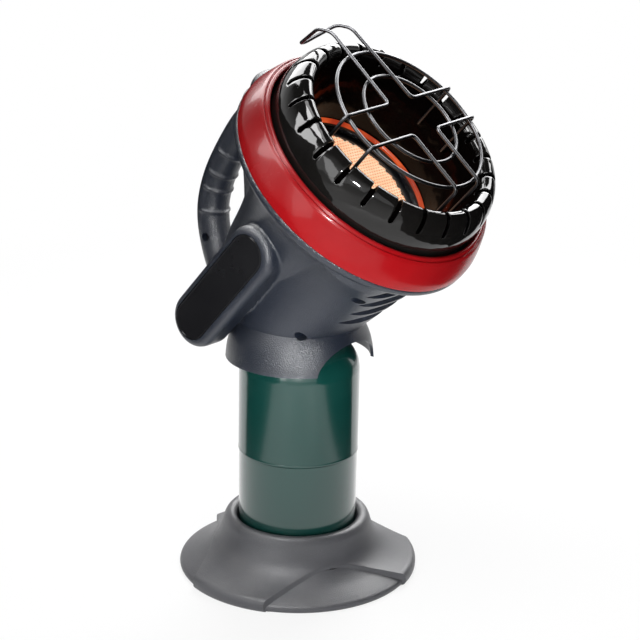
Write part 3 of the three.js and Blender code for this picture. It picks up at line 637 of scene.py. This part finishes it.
for side, ends in (("left", (-150, -0.15)), ("right", (0.15, 150))):
    half = added("housing_half_" + side, shell.data.copy())
    cut(half, built("side", *block(ends, (-200, 200), (100, 500))), "INTERSECT")
    placed(half, 38, body_plastic, "heater", "housing_" + side)
bpy.data.objects.remove(shell)

# The label plates: black film under a clear gloss skin, one in the seat of each pod, left bare.
# A fine raised border runs round each plate just inside its edge.

label_film, tree, shader, tone = enamel(
    "label_film", (0.007, 0.007, 0.008), (0.010, 0.010, 0.011), 22.0, 0.14, 0.22, 1.32)
fill(tree, shader, {"Base Color": tone})
bumped(tree, shader, used(tree, grain, Size=1500.0)["Height"], 0.000003)
plate_steps = ((15.9, 72.9), (15.9, 73.8), (15.75, 74.0), (15.2, 74.0), (15.0, 74.25), (14.6, 74.25), (14.4, 74.0),
               (14.2, 74.0))
for side, name in ((-1, "left"), (1, "right")):
    rings = [[head_spot(side * x, v, s) for v, s in pod_outline(width, label_centres)] for width, x in plate_steps]
    placed(built("label_" + name, *lofted(rings)), 30, label_film, "heater", "label_plate_" + name)

# The screws: three of blacked steel that pull the two halves together, driven from the left into columns.
# Their pan heads, each with a cross recess, sit at the bottom of plain bores.

dark_steel = metal("blacked_steel", (0.06, 0.06, 0.065), 0.34, 0.5)
for name, (y, z, seat) in screw_places.items():
    pan = [(r, x - seat) for r, x in ((0, -2.5), (1.6, -2.45), (2.7, -1.9), (3.2, -1.0), (3.2, -0.3), (1.7, -0.3))]
    screw = built(name, *cross_turned(pan + [(1.7, 10), (0, 11)], y, z))
    for angle in (20, 110):
        turn = Matrix.Rotation(radians(angle), 3, "X")
        corners, faces = block((-seat - 4, -seat - 1.5), (-0.4, 0.4), (-2.1, 2.1))
        cut(screw, built("recess", [turn @ v + Vector((0, y, z)) for v in corners], faces))
    placed(screw, 30, dark_steel, "heater", name)

# The bezel: a ring pressed from sheet steel and enamelled red. It sits on the housing's ledge, covers the gap
# between the bell and the dish, and ends in a small rolled lip round the dish.

red_enamel, tree, shader, tone = enamel(
    "red_enamel", (0.23, 0.002, 0.004), (0.27, 0.003, 0.005), 11.0, 0.2, 0.3, 1.25)
dusty = blended(tree, used(tree, dust, Amount=0.05)["Mask"], tone, (0.5, 0.3, 0.3))
fill(tree, shader, {"Base Color": dusty, "Coat Weight": 0.15, "Coat Roughness": 0.08})
bumped(tree, shader, noise(tree, 90.0), 0.00012)
bezel = rounded([(105.4, 85.6), (107.9, 85.6), (107.6, 92), (105.2, 100.4), (101.9, 109.0), (100.2, 111.4),
                 (99.2, 110.4), (97.8, 113.2), (95.4, 112.6), (94.3, 103), (95.4, 103), (96.4, 110.2),
                 (98.6, 109.2), (102.5, 100.4), (104.8, 92)],
                {1: 0.6, 2: 4, 3: 5, 4: 2, 5: 0.7, 6: 0.5, 7: 1.2, 8: 1.0, 9: 0.4, 13: 3})
placed(built("bezel", *in_head(turned(bezel, 192))), 40, red_enamel, "heater", "bezel_ring")

# The dish: one pressing in high-gloss black enamel. Its wall rises from the burner, rolls over a rim cut by
# twenty-four slots and comes back down outside. The lip round the burner carries a painted glow, the tile's light
# given as its own emission, and the inner wall a darker, less reflective copy of the enamel as painted shade.

dish_enamels = []
# the second enamel is a darker, less reflective copy of the first for the dish's inner wall: painted shade
for name, deep, light, polished, dull, index in (
        ("black_enamel", (0.0045, 0.0042, 0.004), (0.008, 0.0075, 0.007), 0.04, 0.10, 1.48),
        ("shaded_inner_enamel", (0.0015, 0.0012, 0.0012), (0.003, 0.0022, 0.002), 0.07, 0.14, 1.22)):
    made, tree, shader, tone = enamel(name, deep, light, 16.0, polished, dull, index)
    fill(tree, shader, {"Base Color": tone})
    bumped(tree, shader, noise(tree, 55.0), 0.0005)
    dish_enamels.append(made)


def glowing(name, scale, detail, low, high, dim, bright, strength, cold, roughness):
    """A glowing surface, the burning tile or the painted glow on the dish's lip: its glow drifts between two colours,
    where the noise goes from low to high.
    """
    made, tree, shader = finish(name)
    heat = ranged(tree, noise(tree, scale, detail), low, high)
    fill(tree, shader, {"Emission Color": blended(tree, heat, dim, bright), "Emission Strength": strength,
                        "Base Color": cold, "Roughness": roughness})
    return made, tree, shader


# the lip's glow is painted light: the tile's orange light on the enamel, given as emission
painted_glow_enamel = glowing("painted_lip_glow", 60.0, 2.0, 0.35, 0.65, (0.42, 0.035, 0.010), (0.80, 0.11, 0.022), 0.8,
                     (0.02, 0.008, 0.005), 0.3)[0]

dish_steps, crest_point, crest_radius, slots, slot_degrees, slot_half = 24, 8, 81.2, 24, 15, 1.9
dish_line = smooth_line([(61.2, 77.4), (63.6, 78.2), (66.2, 90), (69.4, 106), (71.4, 120), (73.2, 131), (74.6, 138.6),
                         (77.4, 142.6), (81.2, 144.0), (85.0, 142.6), (88.4, 138.6), (91.4, 131.6), (93.0, 124),
                         (93.2, 116), (92.7, 107)], dish_steps)
lengths = [0.0]
for a, b in zip(dish_line, dish_line[1:]):
    lengths.append(lengths[-1] + (b - a).length)


def on_dish(s):
    """The point of the dish's section at that length along it."""
    for i in range(1, len(lengths)):
        if lengths[i] >= s or i == len(lengths) - 1:
            t = (s - lengths[i - 1]) / (lengths[i] - lengths[i - 1])
            return dish_line[i - 1].lerp(dish_line[i], t)


def length_at(height, outer):
    """The length along the section where it passes that height, on its inner or outer side."""
    picks = [i for i, p in enumerate(dish_line) if (i > crest_point * dish_steps) == outer and p[1] >= height]
    return lengths[picks[-1] if outer else picks[0]]


# a slot starts at that height inside the dish, crosses the rim and ends at that height outside
slot_in, slot_out = length_at(135, False), length_at(130.5, True)
stops = [0.0]
while stops[-1] < lengths[-1]:
    here = stops[-1]
    near_slot = slot_in - 4 < here < slot_out + 4
    stops.append(min(lengths[-1], here + (0.9 if near_slot else 2.2)))
in_row = min(range(len(stops)), key=lambda i: abs(stops[i] - slot_in))
out_row = min(range(len(stops)), key=lambda i: abs(stops[i] - slot_out))
offsets = [-slot_half, -1.5, -0.8, 0, 0.8, 1.5, slot_half]
spread = 10
per_slot = len(offsets) + spread - 1
vertices = []
for row, stop in enumerate(stops):
    for slot in range(slots):
        for k in range(per_slot):
            in_slot = k < len(offsets)
            across = offsets[k] if in_slot else slot_half
            bulge = sqrt(max(0, slot_half ** 2 - across ** 2)) * in_slot
            reach = stop
            for end, sign in ((out_row, 1), (in_row, -1)):
                share = 1 - abs(row - end) / 5  # the rows near a slot's end bend round it
                if share > 0:
                    reach += sign * (bulge * share - slot_half * 0.5 * share)
            r, s = on_dish(min(max(reach, 0), lengths[-1]))
            edge = asin(slot_half / r)
            angle = (asin(across / r) if in_slot
                     else edge + (radians(slot_degrees) - 2 * edge) * ((k - len(offsets) + 1) / spread))
            angle += radians(slot_degrees * slot)
            vertices.append(polar(r, angle, s))
count = slots * per_slot
faces = [f for f in grid_faces(len(stops), count, False, True)
         if not (in_row <= f[0] // count < out_row and f[0] % count % per_slot < len(offsets) - 1)]
dish = built("dish", *in_head((vertices, faces)))
work = bmesh.new()
work.from_mesh(dish.data)
for face in work.faces:
    centre = HEAD.inverted() @ face.calc_center_median()
    outward = Vector((centre.x, centre.y, 0)).normalized()
    facing = outward if Vector((centre.x, centre.y)).length / MM > crest_radius else -outward
    if face.normal.dot(HEAD.to_3x3() @ (facing + Vector((0, 0, 0.8)))) < 0:
        face.normal_flip()
work.to_mesh(dish.data)
work.free()
sheet = dish.modifiers.new("sheet", "SOLIDIFY")
sheet.thickness, sheet.offset = 1.1 * MM, -1
soft = dish.modifiers.new("edge", "BEVEL")
soft.width, soft.segments, soft.limit_method, soft.angle_limit = 0.3 * MM, 2, "ANGLE", radians(50)
placed(settled(dish), 40, dish_enamels[0], "heater", "reflector_dish")
dish.data.materials.append(painted_glow_enamel)
dish.data.materials.append(dish_enamels[1])
for face in dish.data.polygons:
    centre = (HEAD.inverted() @ face.center) / MM
    radius = Vector((centre.x, centre.y)).length
    # the faces round the burner take the painted glow
    if centre.z < 80.4 and radius < 66:
        face.material_index = 1
    # the inner wall takes the darker copy of the enamel, painted shade
    elif radius < 75 and centre.z < 139:
        face.material_index = 2

# The burner: a pressed pan, a porous ceramic tile full of small ports on its gasket, and the ring that holds it
# down. Gas comes up the mixer tube, and the pilot stands beside it. The tile glows, its ports deeper than the web.

tile_web, tree, shader = glowing("glowing_web", 70.0, 4.0, 0.3, 0.7, (1.0, 0.60, 0.34), (1.0, 0.80, 0.56), 1.0,
                                 (0.3, 0.2, 0.12), 0.9)
bumped(tree, shader, noise(tree, 900.0), 0.0001)
tile_port = glowing("glowing_port", 70.0, 4.0, 0.3, 0.7, (0.78, 0.22, 0.10), (0.95, 0.36, 0.18), 0.9,
                    (0.15, 0.07, 0.03), 0.95)[0]

pitch, port, port_floor, tile_radius, tile_top, tile_depth = 3.0, 1.0, 68.6, 55.6, 70, 6.6
vertices, faces, port_faces = [], [], []
corner_index = {}


def corner(x, y):
    """The number of the tile's vertex at that place, made where there is none yet."""
    key = (round(x, 3), round(y, 3))
    if key not in corner_index:
        corner_index[key] = len(vertices)
        vertices.append(Vector((x, y, tile_top)))
    return corner_index[key]


hex_radius = pitch / sqrt(3)
for i in range(-22, 23):
    for k in range(-22, 23):
        cx = pitch * (i + 0.5 * k)
        cy = pitch * sqrt(3) / 2 * k
        if hypot(cx, cy) > tile_radius:
            continue
        angles = [radians(30 + 60 * n) for n in range(6)]
        outer = [corner(cx + hex_radius * cos(a), cy + hex_radius * sin(a)) for a in angles]
        start = len(vertices)
        for r, z in ((port, tile_top), (port * 0.9, port_floor)):
            vertices += [Vector((cx + r * cos(a), cy + r * sin(a), z)) for a in angles]
        for n in range(6):
            m = (n + 1) % 6
            faces.append((outer[n], outer[m], start + m, start + n))
            port_faces.append(len(faces))
            faces.append((start + n, start + m, start + 6 + m, start + 6 + n))
        port_faces.append(len(faces))
        faces.append(tuple(start + 6 + n for n in range(6)))
mesh = bpy.data.meshes.new("burner_tile_face")
mesh.from_pydata([tuple(head_spot(*v) * MM) for v in vertices], [], faces)
for index in port_faces:
    mesh.polygons[index].material_index = 1
work = bmesh.new()
work.from_mesh(mesh)
rim = [e for e in work.edges if e.is_boundary]
grown = bmesh.ops.extrude_edge_only(work, edges=rim)["geom"]
down = (HEAD.to_3x3() @ Vector((0, 0, -1))) * (tile_depth * MM)
bmesh.ops.translate(work, verts=[g for g in grown if isinstance(g, bmesh.types.BMVert)], vec=down)
bmesh.ops.edgeloop_fill(work, edges=[e for e in work.edges if e.is_boundary])
bmesh.ops.recalc_face_normals(work, faces=work.faces)
work.to_mesh(mesh)
work.free()
mesh.materials.append(tile_web)
mesh.materials.append(tile_port)
tile = added("tile", mesh)
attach(tile, "heater")
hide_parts("burner_tile")

guard_steel = metal("drawn_wire", (0.10, 0.10, 0.105), 0.32, 0.4, 400.0, 0.000001)
keeper = rounded([(54.6, 71.5), (60, 71.5), (60, 72.6), (59.4, 73), (56, 73), (54.6, 72.4)], 0.3)
placed(built("retaining_ring", *in_head(turned(keeper, 128))), 32, guard_steel, "heater",
       "tile_retaining_ring")


def speckled(name, dark, pale, scale, detail, roughness, depth):
    """A dull, fine-grained material such as ceramic or rubber."""
    made, tree, shader = finish(name)
    speck = noise(tree, scale, detail)
    fill(tree, shader, {"Base Color": blended(tree, speck, dark, pale), "Roughness": roughness})
    bumped(tree, shader, speck, depth)
    return made


ceramic = speckled("unglazed_ceramic", (0.66, 0.63, 0.56), (0.80, 0.78, 0.72), 500.0, 3.0, 0.75, 0.00005)
dress(dark_steel, "mounting_plate", "burner_pan")
dress(ceramic, "tile_gasket", "spark_electrode")
dress(guard_steel, "mixer_tube", "pilot_bracket", "thermocouple")
dress(brass, "pilot_tube")

# The wire guard: drawn steel wire, bent and spot-welded. Two rings lie under three bent wires, and the wire
# over the top runs on beyond the rim into a hooked loop.

guard_height, wire_radius = 156.3, 1.4


def guard_spot(x, y, z=guard_height):
    """A point of the guard, which stands turned 3 degrees and a little off the dish's middle."""
    c, s = cos(radians(3)), sin(radians(3))
    return Vector((x * c - y * s + 0.8, x * s + y * c + 0.6, z))


def guard_leg(x, y):
    """The foot of a leg against the dish's wall, and the bend over it."""
    end_height = 114
    wall = 69.6 + (73.6 - 69.6) * (end_height - 108) / (136.4 - 108)  # the wall's radius there
    foot = guard_spot(x, y, 0)
    foot = foot.normalized() * (wall - wire_radius - 0.6)
    return [Vector((foot.x, foot.y, end_height)), guard_spot(x, y)]


close, far = 14.8, 67.6
hook = [guard_spot(1 - close, 86), guard_spot(2 - close, 97, 148), guard_spot(-1.5, 106, 120),
        guard_spot(4, 106, 120), guard_spot(close - 4, 97, 148), guard_spot(close - 4, 86)]
top = guard_leg(-far, close) + [guard_spot(-close, close)] + hook
top += [guard_spot(close, close)] + guard_leg(far, close)[::-1]
left = guard_leg(-far, -close) + [guard_spot(-close, -close)] + guard_leg(-close, -far)[::-1]
right = guard_leg(far, -close) + [guard_spot(close, -close)] + guard_leg(close, -far)[::-1]
for name, points in (("top", top), ("left", left), ("right", right)):
    form = in_head(swept(rounded(points, 5, 8), lambda step, angle: wire_radius, 14))
    placed(built("guard_wire_" + name, *form), 50, guard_steel, "heater", "guard_%s_wire" % name)
ring_height = guard_height - 2 * wire_radius - 0.05
for name, radius in (("outer", 64.4), ("inner", 41.2)):
    vertices, faces = turned([(radius + wire_radius * cos(a), ring_height + wire_radius * sin(a))
                              for a in [2 * pi * k / 14 for k in range(14)]], 160)
    ring = built("guard_loop_" + name, *in_head(([v + Vector((0.8, 0.6, 0)) for v in vertices], faces)))
    placed(ring, 50, guard_steel, "heater", "guard_%s_ring" % name)

# The gas train inside the housing: a cast zinc inlet fitting that screws onto the cylinder's neck over a rubber
# seal, the cast regulator with its cap, and a brass tube from there to the jet under the burner.

zinc = metal("cast_zinc", (0.42, 0.43, 0.45), 0.38, 0.55, 500.0, 0.00006)
rubber = speckled("seal_rubber", (0.012, 0.012, 0.012), (0.03, 0.03, 0.03), 700.0, 2.0, 0.8, 0.00004)
dress(zinc, "inlet_fitting", "regulator_body", "regulator_cap")
dress(rubber, "inlet_seal")
dress(brass, "gas_jet", "gas_tube")

# The controls at the back: a red push button that starts the heater and a smaller black one that stops it, each
# moulded with a dished top and pushing a sprung brass plunger. The igniter and the tip-over switch are inside.

red_plastic = plastic("red_button_plastic", (0.50, 0.012, 0.010), (0.55, 0.06, 0.05), 0.24, 0.34, 0.00002, 1400.0)
black_plastic = plastic("black_button_plastic", (0.012, 0.012, 0.013), (0.06, 0.06, 0.06), 0.34, 0.46, 0.00003,
                        1400.0)
dress(black_plastic, "piezo_igniter", "tip_over_switch")
dress(brass, "start_plunger", "off_plunger")
dress(guard_steel, "start_spring", "off_spring")
for name, x, radius, proud, material, body, slot in (
        ("start", -12.6, 10, 5, red_plastic, "start", "red_plastic"),
        ("off", 12.6, 7.5, 4, black_plastic, "stop", "black_plastic")):
    face = 78 + proud
    profile = rounded([(0, 72.2), (radius + 1.6, 72.2), (radius + 1.6, 75.2), (radius, 75.2), (radius, face - 1.6),
                       (radius - 0.5, face - 0.6), (radius - 1.6, face), (radius - 2.8, face),
                       (radius - 3.8, face - 0.7), (0, face - 1.1)], {2: 0.4, 5: 0.5, 6: 0.6, 7: 0.6, 8: 0.8})
    placed(built(name + "_cap", *deep_turned(profile, x, 222)), 35, material, body, name + "_button")

# The studio: a white floor that keeps the object's shadow and a white surround that darkens overhead. Dark
# flags and bright cards that only gloss can see shape the reflections; four soft lamps and a snooted spot light
# the object, and the camera stands at the photograph's place.

floor_paint, tree, shader = finish("floor_paint")
tooth = blended(tree, noise(tree, 30.0), (0.78, 0.78, 0.78), (0.80, 0.80, 0.80))
fill(tree, shader, {"Base Color": tooth, "Roughness": 0.8})
path = put(tree, "ShaderNodeLightPath").outputs
place = put(tree, "ShaderNodeTexCoord").outputs["Object"]
spread = put(tree, "ShaderNodeVectorMath", {0: place, 1: (0.2, 0.15, 0)}, operation="DISTANCE").outputs["Value"]
# in gloss the floor shows a painted pool of light: bright near the object, fading with distance
painted_light_pool = sums(tree, "MULTIPLY", path["Is Glossy Ray"], ranged(tree, spread, 0.5, 0.9, 1.0, 0.12))
near = ranged(tree, spread, 0.35, 0.9, 0.82, 1.0)
seen = sums(tree, "MAXIMUM", sums(tree, "MULTIPLY", path["Is Camera Ray"], near), painted_light_pool)
seen = sums(tree, "MAXIMUM", seen, path["Is Transmission Ray"])
white = put(tree, "ShaderNodeEmission", {"Color": (1, 1, 1), "Strength": 1.0}).outputs["Emission"]
both = put(tree, "ShaderNodeMixShader", {0: seen, 1: shader.outputs["BSDF"], 2: white})
tree.links.new(both.outputs["Shader"], tree.nodes["Material Output"].inputs["Surface"])
square = ((-1, -1), (1, -1), (1, 1), (-1, 1))
floor = built("floor", [Vector((6000 * x, 6000 * y, 0)) for x, y in square], [(0, 1, 2, 3)])
floor.data.materials.append(floor_paint)

world = bpy.data.worlds.new("studio")
bpy.context.scene.world = world
world.use_nodes = True
sky = world.node_tree
background = sky.nodes["Background"]
path = put(sky, "ShaderNodeLightPath").outputs
aim = put(sky, "ShaderNodeSeparateXYZ", {0: put(sky, "ShaderNodeTexCoord").outputs["Generated"]}).outputs["Z"]
overhead = ranged(sky, aim, 0.2, 0.6, 1.0, 0.03)
seen = sums(sky, "MAXIMUM", path["Is Camera Ray"], path["Is Transmission Ray"])
gloss = sums(sky, "MULTIPLY", path["Is Glossy Ray"], overhead)
soft = sums(sky, "MULTIPLY", sums(sky, "SUBTRACT", 1.0, sums(sky, "MAXIMUM", seen, path["Is Glossy Ray"])), 0.28)
sky.links.new(sums(sky, "ADD", sums(sky, "ADD", seen, gloss), soft), background.inputs["Strength"])
background.inputs["Color"].default_value = (1, 1, 1, 1)

flag_cloth, tree, shader = finish("flag_cloth")
fill(tree, shader, {"Base Color": (0.004, 0.004, 0.005), "Roughness": 1.0, "Specular IOR Level": 0.0})


def gloss_only(piece, material):
    """A studio panel that shows in gloss and nowhere else."""
    piece.data.materials.append(material)
    piece.visible_camera = piece.visible_diffuse = piece.visible_shadow = piece.visible_transmission = False


view_azimuth, flag_radius, flag_top = -50.8, 300, 480
for name, turn, low, middle, start, foot_start, end in (
        ("flag_left", 1, 24, 125, 32, 84, 108), ("flag_right", -1, 24, 125, 30, 100, 113),
        ("flag_handle", 1, 205, 300, 108, 108, 168)):
    vertices = []
    for k in range(17):
        for z, first in ((low, foot_start), (middle, start), (flag_top, start)):
            angle = radians(view_azimuth - 90 - turn * (first + (end - first) * k / 16))
            vertices.append(polar(flag_radius, angle, z))
    gloss_only(built(name, vertices, grid_faces(17, 3, False, False)), flag_cloth)

for name, place, wide, tall, power in (
        ("card_top", (-450, -20, 1150), 360, 480, 16.0), ("card_right", (768, 67, 940), 700, 600, 11.0),
        ("card_back", (340, 620, 1000), 700, 600, 8.0), ("card_left", (-850, 380, 800), 640, 620, 11.0)):
    light, tree, shader = finish(name)
    fill(tree, shader, {"Base Color": (0, 0, 0), "Specular IOR Level": 0.0, "Emission Color": (1, 1, 1),
                        "Emission Strength": power})
    facing = (Vector(place) - Vector((0, 0, 250))).to_track_quat("Z", "Y").to_matrix()
    corners = [facing @ Vector((x * wide / 2, y * tall / 2, 0)) + Vector(place) for x, y in square]
    gloss_only(built(name, corners, [(0, 1, 2, 3)]), light)


def lamp(name, kind, place, toward, power):
    """A lamp in metres and watts, turned to look along a direction."""
    made = added(name, bpy.data.lights.new(name, kind))
    made.data.energy = power
    made.location = place
    made.rotation_euler = toward.to_track_quat("-Z", "Y").to_euler()
    return made


for name, place, height, wide, tall, power in (
        ("overhead", (-0.35, -0.05, 1.5), 0.25, 0.7, 0.8, 9), ("left", (-1.4, -0.2, 0.5), 0.28, 0.4, 0.7, 3),
        ("back", (0.9, 0.5, 0.95), 0.1, 0.6, 0.6, 15), ("bounce", (-0.42, -0.38, 0.03), 0.28, 0.5, 0.5, 3.5)):
    soft_lamp = lamp(name, "AREA", place, Vector((0, 0, height)) - Vector(place), power)
    soft_lamp.data.shape, soft_lamp.data.size, soft_lamp.data.size_y = "RECTANGLE", wide, tall
    soft_lamp.visible_camera = False
    soft_lamp.visible_glossy = name != "bounce"
key = lamp("key", "SPOT", (-1.1, -0.85, 0.5), Vector((1.08, 0.81, -0.265)), 70).data
key.spot_size, key.spot_blend, key.shadow_soft_size = radians(12), 0.8, 0.07

azimuth, elevation, roll = radians(view_azimuth), radians(17.4), radians(1.14)
back = Vector((sin(azimuth) * cos(elevation), -cos(azimuth) * cos(elevation), sin(elevation)))
level = Vector((cos(azimuth), sin(azimuth), 0))
rise = back.cross(level)
across = level * cos(roll) + rise * sin(roll)
upward = rise * cos(roll) - level * sin(roll)
lens = bpy.data.cameras.new("camera")
lens.sensor_width = 36
lens.lens = 36 * 1622 / 640  # the focal length is 1622 pixels in a frame of 640
camera = added("camera", lens)
camera.matrix_world = Matrix((
    (across.x, upward.x, back.x, -0.958),
    (across.y, upward.y, back.y, -0.802),
    (across.z, upward.z, back.z, 0.604),
    (0, 0, 0, 1),
))
bpy.context.scene.camera = camera
bpy.context.scene.view_settings.view_transform = "Standard"
